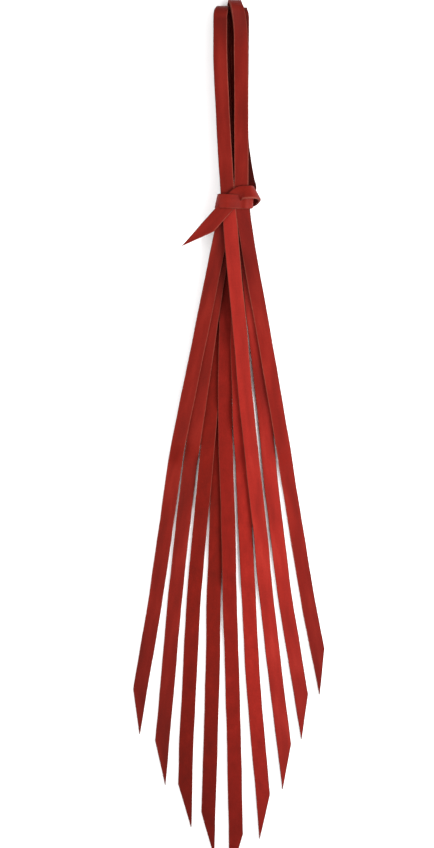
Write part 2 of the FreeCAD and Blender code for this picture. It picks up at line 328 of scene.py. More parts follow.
@dataclass(frozen=True)
class GrainSide:
    """Latigo leather, drum-dyed and lightly waxed: an even, saturated red with a soft sheen."""

    dye: DyeAndLight
    pore: float = 0.55  # spacing of the hair pores, in millimetres, drawn a little coarse
    grain: Pair = (0.9, 1.3)  # size of the grain between them, across and down the lace
    crease: float = 3.2  # width of the fine creases that bending leaves
    cloud: float = 9.0  # size of the clouds that uneven dye leaves
    patch: Pair = (8.0, 30.0)  # size of the patches where handling has bared the rim
    roughness: float = 0.52
    worn_edge: str = "7A3026"

    def make(self) -> Material:
        """Build the material."""
        material, tree = blank_material("grain_side_latigo_" + self.dye.name.lower())
        shade, body, worn = self.dye.value
        clouds = add_node(tree, "TexNoise", {"Scale": 1.0, "Detail": 3.0, "Roughness": 0.5},
                          {"Vector": along_lace(tree, self.cloud, self.cloud * 5)})
        tone = add_node(tree, "ValToRGB", links={"Fac": clouds.outputs["Fac"]},
                        stops=[(0.28, shade), (0.5, body), (0.8, worn)])
        grain = add_node(tree, "TexNoise", {"Scale": 1.0, "Detail": 3.0, "Roughness": 0.55},
                         {"Vector": along_lace(tree, *self.grain)})
        speckle = add_node(tree, "MapRange", {"From Min": 0.3, "From Max": 0.75, "To Min": 0.9,
                                              "To Max": 1.08}, {"Value": grain.outputs["Fac"]})
        pores = add_node(tree, "TexVoronoi", {"Scale": 1.0, "Randomness": 0.9},
                         {"Vector": along_lace(tree, self.pore, self.pore)})
        # Bending pulls the wax up and shows a paler red; handling bares the fibre at the rim.
        pulled = add_node(tree, "Mix", {"data_type": "RGBA", SECOND_COLOUR: linear(worn)},
                          {"Factor": mark(tree, "bend"), FIRST_COLOUR: tone.outputs["Color"]})
        patches = add_node(tree, "TexNoise", {"Scale": 1.0, "Detail": 3.0},
                           {"Vector": along_lace(tree, *self.patch)})
        bared = add_node(tree, "MapRange", {"From Min": 0.4, "From Max": 0.62},
                         {"Value": patches.outputs["Fac"]})
        bare_rim = add_node(tree, "Math", {"operation": "MULTIPLY"},
                            {0: mark(tree, "rim"), 1: bared.outputs["Result"]})
        rimmed = add_node(tree, "Mix",
                          {"data_type": "RGBA", SECOND_COLOUR: linear(self.worn_edge)},
                          {"Factor": bare_rim.outputs["Value"],
                           FIRST_COLOUR: pulled.outputs[MIXED_COLOUR]})
        spotted = add_node(tree, "VectorMath", {"operation": "SCALE"},
                           {0: rimmed.outputs[MIXED_COLOUR], "Scale": speckle.outputs["Result"]})
        # Painted shade, written on the lace, darkens the colour here.
        with_painted_shade = darken_by_painted_shade(tree, spotted.outputs["Vector"])
        creases = add_node(tree, "TexNoise", {"Scale": 1.0, "Detail": 2.0, "Distortion": 0.6},
                           {"Vector": along_lace(tree, self.crease * 3, self.crease)})
        relief = add_node(tree, "Math", {"operation": "MULTIPLY_ADD", 1: 0.55},
                          {0: pores.outputs["Distance"], 2: grain.outputs["Fac"]})
        swell = add_node(tree, "Math", {"operation": "MULTIPLY_ADD", 1: 1.4},
                         {0: creases.outputs["Fac"], 2: relief.outputs["Value"]})
        bump = add_node(tree, "Bump", {"Strength": 0.35, "Distance": 0.12 * MM},
                        {"Height": swell.outputs["Value"]})
        sheen = add_node(tree, "MapRange", {"From Min": 0.25, "From Max": 0.75,
                                            "To Min": self.roughness - 0.07,
                                            "To Max": self.roughness + 0.1},
                         {"Value": clouds.outputs["Fac"]})
        shader = add_node(tree, "BsdfPrincipled", {"IOR": 1.5, "Specular IOR Level": 0.065},
                          {"Base Color": with_painted_shade,
                           "Roughness": sheen.outputs["Result"],
                           "Normal": bump.outputs["Normal"]})
        add_node(tree, "OutputMaterial", links={"Surface": shader.outputs["BSDF"]})
        return material


@dataclass(frozen=True)
class FleshSide:
    """The back of the same leather, pasted and rolled down: the same red, matt and a little fuzzy."""

    dye: DyeAndLight
    nap: float = 0.7  # size of the tufts of the nap, in millimetres, drawn coarse
    cloud: float = 7.0  # size of the clouds that the paste leaves
    roughness: float = 0.78

    def make(self) -> Material:
        """Build the material."""
        material, tree = blank_material("flesh_side_latigo_" + self.dye.name.lower())
        shade, body, worn = self.dye.value
        clouds = add_node(tree, "TexNoise", {"Scale": 1.0, "Detail": 5.0, "Roughness": 0.65},
                          {"Vector": along_lace(tree, self.cloud, self.cloud * 2)})
        tone = add_node(tree, "ValToRGB", links={"Fac": clouds.outputs["Fac"]},
                        stops=[(0.3, shade), (0.6, body), (0.9, worn)])
        nap = add_node(tree, "TexNoise", {"Scale": 1.0, "Detail": 5.0, "Roughness": 0.75},
                       {"Vector": along_lace(tree, self.nap, self.nap * 2)})
        speckle = add_node(tree, "MapRange", {"From Min": 0.3, "From Max": 0.75, "To Min": 0.82,
                                              "To Max": 1.14}, {"Value": nap.outputs["Fac"]})
        spotted = add_node(tree, "VectorMath", {"operation": "SCALE"},
                           {0: tone.outputs["Color"], "Scale": speckle.outputs["Result"]})
        # Painted shade, written on the lace, darkens the colour here.
        with_painted_shade = darken_by_painted_shade(tree, spotted.outputs["Vector"])
        bump = add_node(tree, "Bump", {"Strength": 0.5, "Distance": 0.15 * MM},
                        {"Height": nap.outputs["Fac"]})
        shader = add_node(tree, "BsdfPrincipled",
                          {"IOR": 1.5, "Specular IOR Level": 0.055, "Sheen Weight": 0.02,
                           "Sheen Roughness": 0.5, "Roughness": self.roughness},
                          {"Base Color": with_painted_shade, "Normal": bump.outputs["Normal"]})
        add_node(tree, "OutputMaterial", links={"Surface": shader.outputs["BSDF"]})
        return material


@dataclass(frozen=True)
class CutEdge:
    """The knife-cut edge: bare fibre that took less dye, so it reads as a paler, dusty rim."""

    dyed: str = "4A0F08"  # where the fibre is still closed and waxed
    shade: str = "4A1A12"
    body: str = "6C2C22"
    pale: str = "8A483C"
    fibre: float = 0.35  # thickness of a fibre bundle, in millimetres, drawn coarse
    roughness: float = 0.82

    def make(self) -> Material:
        """Build the material."""
        material, tree = blank_material("cut_edge_latigo")
        fibres = add_node(tree, "TexNoise", {"Scale": 1.0, "Detail": 4.0, "Roughness": 0.7},
                          {"Vector": along_lace(tree, self.fibre, self.fibre * 9)})
        tone = add_node(tree, "ValToRGB", links={"Fac": fibres.outputs["Fac"]},
                        stops=[(0.25, self.shade), (0.5, self.body), (0.78, self.pale)])
        shut = add_node(tree, "Mix", {"data_type": "RGBA", SECOND_COLOUR: linear(self.dyed)},
                        {"Factor": mark(tree, "closed"), FIRST_COLOUR: tone.outputs["Color"]})
        # Painted shade, written on the lace, darkens the colour here.
        with_painted_shade = darken_by_painted_shade(tree, shut.outputs[MIXED_COLOUR])
        bump = add_node(tree, "Bump", {"Strength": 0.5, "Distance": 0.12 * MM},
                        {"Height": fibres.outputs["Fac"]})
        shader = add_node(tree, "BsdfPrincipled",
                          {"IOR": 1.5, "Specular IOR Level": 0.08, "Roughness": self.roughness},
                          {"Base Color": with_painted_shade, "Normal": bump.outputs["Normal"]})
        add_node(tree, "OutputMaterial", links={"Surface": shader.outputs["BSDF"]})
        return material


Finish = GrainSide | FleshSide | CutEdge


class Wardrobe:
    """Makes each finish once and hands it out."""

    def __init__(self) -> None:
        """Start with nothing made."""
        self._made: dict[Finish, Material] = {}

    def wear(self, finish: Finish) -> Material:
        """Return the material of a finish."""
        if finish not in self._made:
            self._made[finish] = finish.make()
        return self._made[finish]

    def dress(self, piece: Piece, dye: DyeAndLight) -> None:
        """Give a lace its grain side, flesh side and cut edge, in the order of Face."""
        for finish in (GrainSide(dye), FleshSide(dye), CutEdge()):
            piece.data.materials.append(self.wear(finish))


# Laces ------------------------


class Face(Enum):
    """The surfaces of a lace, in the order of its materials."""

    GRAIN = 0
    FLESH = 1
    EDGE = 2


@dataclass(frozen=True)
class Stock:
    """The lace that everything is cut from, in millimetres."""

    width: float
    thick: float
    spread: float = 0.6  # how much wider than its pattern the soft leather lies
    bevel: float = 0.42  # how far the knife and handling have rounded its corners
    bevel_share: float = 0.45  # largest share of a narrowed lace that one bevel takes
    corner: float = 0.3  # share of the bevel that its middle facet stands back
    crown: float = 0.12  # how much thicker it is in the middle
    columns: int = 9  # points across each side, closer together near its edges
    tight_radius: float = 4.0  # a bend this tight pulls the wax up fully
    easy_bend: float = 0.15  # share of that bend that still shows nothing

    @classmethod
    def from_frame(cls) -> "Stock":
        """Read the lace's width from the turn round the knot, and its thickness from a tail."""
        near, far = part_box("knot_wrap")
        low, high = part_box("tail_4")
        return cls(width=(far[1] - near[1]) / MM + cls.spread, thick=(high[2] - low[2]) / MM)


@dataclass
class Ribbon:
    """A length of lace along a line in space.

    Attributes:
        name: Name of the piece.
        stock: The lace.
        centres: Points on the lace's centre line, in millimetres.
        across: Unit vectors from the left edge to the right one. Line x across points to the
            grain side.
        left: Distance from the centre line to the left edge, at each point.
        right: Distance from the centre line to the right edge, at each point.
        seed: Sets where the lace's own grain starts.
        painted_shade: How much painted shade darkens it at each point, from 0 to 1.
        wear: How much of the fibre is bared at its left and right edge, at each point.
        flipped: Whether the flesh side takes the grain side's place.
        tangents: Unit vectors down the line.
    """

    name: str
    stock: Stock
    centres: np.ndarray
    across: np.ndarray
    left: np.ndarray
    right: np.ndarray
    seed: int
    painted_shade: np.ndarray
    wear: np.ndarray
    flipped: bool = False
    tangents: np.ndarray = field(init=False)

    def __post_init__(self) -> None:
        """Square the across vectors up to the line."""
        self.tangents = unit(np.gradient(self.centres, axis=0))
        self.across = square_up(self.across, self.tangents)

    @property
    def normals(self) -> np.ndarray:
        """Unit vectors out of the grain side."""
        return np.cross(self.tangents, self.across)

    def bend(self) -> np.ndarray:
        """Return how tightly the lace is bent at each point, from 0 to 1."""
        along = distances(self.centres)
        turn = np.linalg.norm(np.gradient(self.tangents, along, axis=0), axis=1)
        easy = self.stock.easy_bend
        return np.clip((turn * self.stock.tight_radius - easy) / (1 - easy), 0, 1)

    def _outline(self, index: int) -> list[Pair]:
        """Return one cross-section as distances across and up, grain side first."""
        stock = self.stock
        low, high = -self.left[index], self.right[index]
        width = high - low
        bevel = min(stock.bevel, stock.bevel_share * width)
        top = stock.thick / 2
        shares = 0.5 - 0.5 * np.cos(math.pi * np.linspace(0.0, 1.0, stock.columns))
        crown = stock.crown * min(1.0, width / stock.width)
        flat = [(low + bevel + (width - 2 * bevel) * share, top + crown * (1 - (2 * share - 1)**2)
                 - crown) for share in shares]
        corner = bevel * stock.corner
        side = [(high - corner, top - corner), (high, top - bevel),
                (high, bevel - top), (high - corner, corner - top)]
        under = [(spot[0], -spot[1]) for spot in reversed(flat)]
        other = [(low + corner, corner - top), (low, bevel - top),
                 (low, top - bevel), (low + corner, top - corner)]
        return flat + side + under + other

    def _skin(self, count: int, size: int) -> tuple[list[tuple[int, ...]], list[Face]]:
        """List the faces between the rings and over both ends.

        Args:
            count: Number of rings.
            size: Number of points in a ring.

        Returns:
            The faces, and the kind of each.
        """
        front, back = (Face.FLESH, Face.GRAIN) if self.flipped else (Face.GRAIN, Face.FLESH)
        broad = self.stock.columns - 1
        edge = [Face.EDGE] * (CORNER_POINTS + 1)
        kinds = ([front] * broad + edge + [back] * broad + edge) * (count - 1)
        faces = []
        for a in range(0, (count - 1) * size, size):
            b = a + size
            for place in range(size):
                after = (place + 1) % size
                faces.append((a + place, a + after, b + after, b + place))
        faces.append(tuple(reversed(range(size))))
        faces.append(tuple(range((count - 1) * size, count * size)))
        return faces, kinds + [Face.EDGE, Face.EDGE]

    def _edge_points(self) -> tuple[np.ndarray, np.ndarray]:
        """Return which points of a ring stand at its left edge, and which at its right one."""
        inner = [0.0] * (self.stock.columns - 2)
        left = [1.0] + inner + [0.0] * (CORNER_POINTS + 2) + inner + [1.0] * (CORNER_POINTS + 1)
        right = [0.0] + inner + [1.0] * (CORNER_POINTS + 2) + inner + [0.0] * (CORNER_POINTS + 1)
        return np.array(left), np.array(right)

    def build(self) -> Piece:
        """Build the closed mesh, with lace coordinates and the values that its finishes read."""
        rings = [self._outline(index) for index in range(len(self.centres))]
        size = len(rings[0])
        normals = self.normals
        points = [self.centres[index] + self.across[index] * u + normals[index] * n
                  for index, ring in enumerate(rings) for u, n in ring]
        faces, kinds = self._skin(len(rings), size)
        mesh = bpy.data.meshes.new(self.name)
        mesh.from_pydata([tuple(point * MM) for point in points], [], faces)
        mesh.polygons.foreach_set("material_index", [kind.value for kind in kinds])
        mesh.polygons.foreach_set("use_smooth", [True] * (len(faces) - 2) + [False] * 2)
        self._lay_coordinates(mesh, rings)
        on_left, on_right = self._edge_points()
        worn = np.outer(self.wear[:, 0], on_left) + np.outer(self.wear[:, 1], on_right)
        # The finishes read the bend, the painted shade, and how bare each edge is.
        marks = {"bend": np.repeat(self.bend(), size), "painted_shade": np.repeat(self.painted_shade, size),
                 "rim": worn, "closed": on_left + on_right - worn}
        for name, values in marks.items():
            layer = mesh.attributes.new(name, "FLOAT", "POINT")
            layer.data.foreach_set("value", values.ravel().astype(np.float32))
        mesh.validate()
        piece = bpy.data.objects.new(self.name, mesh)
        bpy.context.scene.collection.objects.link(piece)
        return piece

    def _lay_coordinates(self, mesh: bpy.types.Mesh, rings: list[list[Pair]]) -> None:
        """Write lace coordinates: round the cross-section, and down the lace."""
        size = len(rings[0])
        along = distances(self.centres)
        offset = GRAIN_SHIFT * self.seed
        layer = mesh.uv_layers.new(name=UV_NAME)
        girths = [distances(np.array(ring + ring[:1])) for ring in rings]
        values = []
        for face in mesh.polygons:
            spots = list(face.vertices)
            places = [spot % size for spot in spots]
            wraps = 0 in places and size - 1 in places and len(spots) == 4
            for spot, place in zip(spots, places):
                index = spot // size
                girth = girths[index][size if wraps and place == 0 else place]
                values += [(girth + offset) * UV_PER_MM, (along[index] + offset) * UV_PER_MM]
        layer.data.foreach_set("uv", values)


def level_across(centres: np.ndarray) -> np.ndarray:
    """Return across vectors that lie level, square to a line that runs over the ground."""
    return unit(np.cross(UP, np.gradient(centres, axis=0)))


def roll(centres: np.ndarray, across: np.ndarray, angles: np.ndarray) -> np.ndarray:
    """Turn across vectors about the line.

    Args:
        centres: Points on the line.
        across: Unit across vectors.
        angles: Turn at each point, in radians. A positive turn lifts the left edge.

    Returns:
        The turned vectors.
    """
    tangents = unit(np.gradient(centres, axis=0))
    normals = np.cross(tangents, across)
    turn = angles[:, None]
    return across * np.cos(turn) - normals * np.sin(turn)


# Tails ------------------------


class Side(Enum):
    """Left or right, as seen from above."""

    LEFT = -1
    RIGHT = 1


@dataclass
class Tail:
    """One tail, from inside the knot to its slanted point. Places are in millimetres.

    Attributes:
        number: The tail's number, from the left.
        shoulder: Which edge the slanted cut starts on.
        route: Bends of its centre line, as (y, x), apart from the hinge line.
        layers: Layers of lace that it lies on, as (y, number), down to where it meets the ground.
        dye: How the dye took, partly painted light: a brighter or deeper level stands in for how much
            light falls on it.
        grain_up: Whether it comes from a front leg, and so shows its grain side.
        root: How dark the painted shade just below the knot is, from 0 to 1.
        wear: How much its left and right edges are worn.
    """

    number: int
    shoulder: Side
    route: list[Pair]
    layers: list[Pair]
    dye: DyeAndLight
    grain_up: bool
    root: float = 0.3
    wear: Pair = (0.6, 0.6)
    cut: float = 32.5  # length of the slanted cut
    step: float = 3.0  # between the points of its line
    fine: float = 1.5  # how much closer together they stand on the cut
    flat_from: Pair = (-400.0, 0.0)  # all of it lies on the ground from here
    short: float = 0.4  # how far it stops short of its CAD node's tip
    sway: Drift = Drift(0, 0.15, 170.0)  # of its line, sideways
    swell: Drift = Drift(20, 0.12, 60.0)  # of its edges
    tilt: Drift = Drift(40, 1.2, 120.0)  # of its roll, in degrees
    tip_painted_shade: Pair = (0.62, 130.0)  # painted shade at its point: how dark, and how far
    root_shade_fade: Pair = (-105.0, 55.0)  # where the painted shade below the knot ends, and its fade
    reach: float = 26.0  # how far past its joint its bend spreads

    @property
    def node(self) -> str:
        """Name of the free tail's node and body."""
        return "tail_%d" % self.number

    def hinge(self) -> np.ndarray:
        """Return the point that the free tail turns about, in millimetres."""
        return np.array(joint_of(self.node)["pos_m"]) / MM

    def tip(self) -> float:
        """Return how far down the tail reaches."""
        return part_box(self.node)[0][1] / MM

    def column(self, at: np.ndarray) -> np.ndarray:
        """Return the centre line's X at each Y."""
        hinge = self.hinge()
        return soft_line(at, self.route + [(hinge[1], hinge[0])])

    def ribbon(self, stock: Stock) -> Ribbon:
        """Lay the strap along its route."""
        tip = self.tip()
        shoulder = tip + self.cut
        plain = np.linspace(0.0, shoulder, int(-shoulder / self.step))
        point = np.linspace(shoulder, tip + self.short, int(self.cut / self.step * self.fine))[1:]
        heights = np.concatenate([plain, point])
        columns = self.column(heights) + self.sway.along(-heights, self.number)
        half = stock.width / 2 + self.swell.along(-heights, self.number)
        angles = np.radians(self.tilt.along(-heights, self.number))
        under = [(place, number * PITCH) for place, number in self.layers + [self.flat_from]]
        middles = (smooth_through(heights, under) + stock.thick / 2
                   + half * np.abs(np.sin(angles)))
        centres = np.column_stack([columns, heights, middles])
        across = roll(centres, level_across(centres), angles)
        cut = np.clip((shoulder - heights) / self.cut, 0, 1)
        narrow = half - cut * (2 * half - TIP_WIDTH)
        left, right = (narrow, half) if self.shoulder is Side.LEFT else (half, narrow)
        # Painted shade: darker towards the point, and just below the knot.
        shade_depth, length = self.tip_painted_shade
        shade_at_tip = shade_depth * np.clip((tip + length - heights) / length, 0, 1)
        end, fade = self.root_shade_fade
        shade_at_root = self.root * np.clip((heights - end) / fade, 0, 1)
        return Ribbon("strap_" + self.node, stock, centres, across, left, right, self.number,
                      flipped=not self.grain_up, painted_shade=np.maximum(shade_at_tip, shade_at_root),
                      wear=np.tile(self.wear, (len(heights), 1)))

    def make(self, stock: Stock, wardrobe: Wardrobe) -> Piece:
        """Build and dress the strap, and hide the CAD parts that it replaces."""
        piece = self.ribbon(stock).build()
        wardrobe.dress(piece, self.dye)
        hinge = self.hinge() * MM
        self.node
        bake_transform(piece)
        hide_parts("neck_%d" % self.number, self.node)
        return piece


@dataclass
class Fan:
    """The nine tails below the knot."""

    tails: list[Tail] = field(init=False)

    def __post_init__(self) -> None:
        """List the tails, from the left."""
        # The bright level of the right-hand tails is painted light, and each root value is painted
        # shade below the knot.
        self.tails = [
            Tail(1, Side.LEFT, [(-8.2, -6.6), (-186, -42.9), (-297, -58.9), (-363.3, -70.1)],
                 [(0, 5), (-10, 5), (-50, 4), (-78, 4), (-100, 3), (-178, 3), (-200, 0)],
                 DyeAndLight.EVEN, True, root=0.22),
            Tail(2, Side.LEFT, [(-8.2, -5.2), (-186, -31.7), (-297, -44.6), (-401.1, -53.7)],
                 [(0, 4), (-10, 4), (-45, 3), (-78, 3), (-100, 2), (-176, 2), (-194, 0)],
                 DyeAndLight.EVEN, True),
            Tail(3, Side.LEFT, [(-8.2, -5.6), (-186, -20.5), (-297, -30.6), (-400, -36.0),
                                (-432.9, -36.7)],
                 [(0, 2), (-10, 2), (-35, 1), (-218, 1), (-232, 0)], DyeAndLight.EVEN, False, root=0.9),
            Tail(4, Side.LEFT, [(-8.2, -5.4), (-330, -16.0), (-453.6, -19.6)],
                 [(0, 1), (-10, 1), (-30, 0)], DyeAndLight.EVEN, False, root=1.0),
            Tail(5, Side.RIGHT, [(-8.2, -4.8), (-110, -6.9), (-150, -7.3), (-187, -6.8),
                                 (-223, -5.5), (-350, -2.0), (-469.9, 0.7)],
                 [(0, 3), (-10, 3), (-40, 2), (-145, 2), (-165, 1), (-280, 1), (-296, 0)],
                 DyeAndLight.WARM, False, root=1.0),
            Tail(6, Side.RIGHT, [(-8.2, 5.6), (-60, 3.0), (-115, 1.8), (-144, 3.0),
                                 (-168, 3.6), (-187, 5.2), (-356, 13.3), (-441, 20.6)],
                 [(0, 1), (-12, 1), (-62, 3.04), (-150, 3.04), (-170, 2), (-200, 0)],
                 DyeAndLight.BRIGHT, False, root=0.4),
            Tail(7, Side.RIGHT, [(-8.2, -4.4), (-17, -3.7), (-51, -0.8), (-90, 2.9),
                                 (-115, 5.1), (-144, 7.5), (-258, 19.9), (-340, 28.5),
                                 (-404, 36.3)],
                 [(0, 6), (-10, 6), (-150, 4.16), (-215, 1.08), (-250, 1.04), (-267, 0)],
                 DyeAndLight.BRIGHT, True, root=0.12, wear=(0.4, 1.0)),
            Tail(8, Side.RIGHT, [(-8.2, 5.8), (-57, 10.6), (-95, 14.4), (-123, 17.8),
                                 (-148, 20.7), (-297, 37.2), (-367, 48.9)],
                 [(0, 5), (-10, 5), (-45, 4.08), (-85, 4.08), (-130, 1), (-150, 0)],
                 DyeAndLight.BRIGHT, True, root=0.4),
            Tail(9, Side.RIGHT, [(-8.2, 5.3), (-59, 13.6), (-101, 21.5), (-186, 36.2),
                                 (-297, 53.9), (-333.7, 61.2)],
                 [(0, 6), (-10, 6), (-45, 5.1), (-85, 5.1), (-130, 2.05), (-155, 1.05),
                  (-183, 1.05), (-200, 0)],
                 DyeAndLight.WARM, True, root=0.5, wear=(1.0, 0.4)),
        ]

    def column(self, number: int) -> float:
        """Return where a tail's strap stands inside the knot."""
        return float(self.tails[number - 1].column(np.array([0.0]))[0])

    def make(self, stock: Stock, wardrobe: Wardrobe) -> list[Piece]:
        """Build every tail."""
        return [tail.make(stock, wardrobe) for tail in self.tails]


# Loops ------------------------


@dataclass
class Loop:
    """One folded lace above the knot, in millimetres.

    Attributes:
        node: Its CAD node.
        body: The stack that it moves with; not used.
        back: Layer of its back leg.
        front: Layer of its front leg.
        back_column: Where its back leg stands in the knot.
        front_column: Where its front leg stands in the knot.
        route: Bends of its centre line, as (y, x), with the same X in both legs.
        dye: How the dye took, partly painted light: a deeper level stands in for shade.
        seed: Picks its own grain and drift.
        twist: Roll just below the fold, in degrees.
        closing: How far its back leg lies to the right of its front leg.
        curl: How far the left and right edges curl in round the fold.
        rise: How far its fold stands out past its CAD node.
        wear: How much its left and right edges are worn.
        tie_leg: Route of the back leg where it leaves the stack to tie the knot, as (y, x).
    """

    node: str
    body: str
    back: int
    front: int
    back_column: float
    front_column: float
    route: list[Pair]
    dye: DyeAndLight
    seed: int
    twist: float = 0.0
    closing: float = 0.0
    curl: Pair = (0.8, 0.8)
    rise: float = 0.0
    wear: Pair = (0.2, 0.6)
    tie_leg: list[Pair] = field(default_factory=list)
    base: float = 11.0  # where the stack starts to lean to the ground
    lean: float = 1.05  # how steeply, in degrees
    step: float = 2.5  # between the points of its line
    fold_points: int = 21  # round the fold
    slim: float = 0.2  # how far each edge lies in from a tail's
    swell: Drift = Drift(20, 0.12, 60.0)  # of its edges
    tilt: Drift = Drift(40, 0.7, 90.0)  # of its roll, in degrees
    closing_run: Pair = (12.0, 30.0)  # where the closing starts, and its length
    twist_run: Pair = (6.0, 26.0)  # how soon the twist comes, and dies away
    curl_run: float = 5.0  # how far from the fold its edges curl in
    fold_painted_shade: Pair = (0.55, 22.0)  # painted shade round the fold: how dark, and how far
    tie_leg_painted_shade: Pair = (50.0, 12.0)  # end of the painted shade on the tying leg, and its fade
    bend: Pair = (8.0, 40.0)  # where its bend over the knot starts and ends

    def _settle(self, heights: np.ndarray) -> np.ndarray:
        """Return how far the leaning stack has come down at each Y."""
        return math.tan(math.radians(self.lean)) * np.clip(heights - self.base, 0, None)

    def ribbon(self, stock: Stock) -> Ribbon:
        """Lay the lace up its back leg, round the fold and down its front leg."""
        low = self.back * PITCH + stock.thick / 2
        high = self.front * PITCH + stock.thick / 2
        radius = (high - low) / 2
        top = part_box(self.node)[1][1] / MM + self.rise - stock.thick / 2
        centre = top - radius
        foot = self.tie_leg[0][0] if self.tie_leg else 0.0
        count = int((centre - foot) / self.step)
        up = np.linspace(foot, centre, count, endpoint=False)
        down = np.linspace(centre, 0.0, int(centre / self.step) + 1)[1:]
        angles = np.linspace(-math.pi / 2, math.pi / 2, self.fold_points)
        heights = np.concatenate([up, centre + radius * np.cos(angles), down])
        layers = np.concatenate([np.full(len(up), low),
                                 (low + high) / 2 + radius * np.sin(angles),
                                 np.full(len(down), high)])
        layers = layers - self._settle(heights)
        back = soft_line(heights, self.route + (self.tie_leg or [(0, self.back_column)]))
        # The back legs lie closer to the other stack than the front ones, and fill the gap.
        start, length = self.closing_run
        back = back + self.closing * np.clip((heights - start) / length, 0, 1)
        front = soft_line(heights, self.route + [(0, self.front_column)])
        share = np.concatenate([np.zeros(len(up)), np.linspace(0, 1, self.fold_points),
                                np.ones(len(down))])
        columns = back * (1 - share) + front * share
        along = distances(np.column_stack([columns, heights, layers]))
        drift = self.tilt.along(along, self.seed)
        half = stock.width / 2 - self.slim + self.swell.along(along, self.seed)
        layers = layers + half * np.abs(np.sin(np.radians(drift)))
        centres = np.column_stack([columns, heights, layers])
        past = along - along[len(up) + self.fold_points // 2]
        across = np.tile(RIGHTWARDS, (len(centres), 1))
        across = square_up(across, unit(np.gradient(centres, axis=0)))
        onset, decay = self.twist_run
        near = np.clip(past / onset, 0, 1) * np.exp(-(past / decay) ** 2)
        across = roll(centres, across, np.radians(self.twist * near + drift))
        curl = np.exp(-(past / self.curl_run) ** 4)
        # Painted shade: darker round the fold, and on the leg that ties the knot.
        shade_depth, length = self.fold_painted_shade
        shade_at_fold = shade_depth * np.exp(-(past / length) ** 2)
        end, fade = self.tie_leg_painted_shade
        shade_at_tie = (1.0 if self.tie_leg else 0.0) * np.clip((end - along) / fade, 0, 1)
        return Ribbon("lace_" + self.node, stock, centres, across, half - self.curl[0] * curl,
                      half - self.curl[1] * curl, self.seed,
                      painted_shade=np.maximum(shade_at_fold, shade_at_tie),
                      wear=np.tile(self.wear, (len(along), 1)))

    def make(self, stock: Stock, wardrobe: Wardrobe) -> Piece:
        """Build and dress the lace, and hide the CAD parts that it replaces."""
        piece = self.ribbon(stock).build()
        wardrobe.dress(piece, self.dye)
        start, end = self.bend
        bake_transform(piece)
        nodes = [self.node] + (["tie_leg"] if self.tie_leg else [])
        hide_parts(*nodes)
        return piece


@dataclass
class Stacks:
    """The two stacks of loops above the knot.

    Attributes:
        fan: The tails that the loops' legs become.
        tie_route: Route of the leg that ties the knot, where it leaves the stack, as (y, x).
    """

    fan: Fan
    tie_route: list[Pair] = field(
        default_factory=lambda: [(12.0, 9.7), (20.0, 8.3), (30.0, 6.5), (45.0, 4.8)])

    def loops(self) -> list[Loop]:
        """List the loops, each set over the tails that its legs become."""
        column = self.fan.column
        left = [(11, -6.1), (44, -8.1), (73, -9.6), (103, -11.0), (150, -10.9)]
        right = [(11, 4.7), (100, 4.5), (128, 4.2), (148, 0.4)]
        inner = [(60, 4.8), (100, 5.0), (130, 5.4), (150, 5.0)]
        # The deep level of the inner loops is painted shade.
        return [
            Loop("left_loop_outer", "left_loops", 1, 6, column(4), column(7), left, DyeAndLight.EVEN,
                 11, closing=3.2, curl=(1.1, 0.4), wear=(0.1, 1.0)),
            Loop("left_loop_middle", "left_loops", 2, 5, column(3), column(1), left, DyeAndLight.EVEN,
                 12, closing=1.6),
            Loop("left_loop_inner", "left_loops", 3, 4, column(5), column(2), left, DyeAndLight.DEEP,
                 13, closing=0.5),
            Loop("right_loop_outer", "right_loops", 1, 6, column(6), column(9), right, DyeAndLight.EVEN,
                 14, twist=24.0, closing=-2.2, curl=(0.4, 0.2), wear=(1.0, 0.6)),
            Loop("right_loop_inner", "right_loops", 2, 5, 0.0, column(8), inner, DyeAndLight.DEEP, 15,
                 curl=(0.4, 1.2), rise=0.7, tie_leg=self.tie_route),
        ]

    def make(self, stock: Stock, wardrobe: Wardrobe) -> list[Piece]:
        """Build every loop."""
        return [loop.make(stock, wardrobe) for loop in self.loops()]


# Knot ------------------------


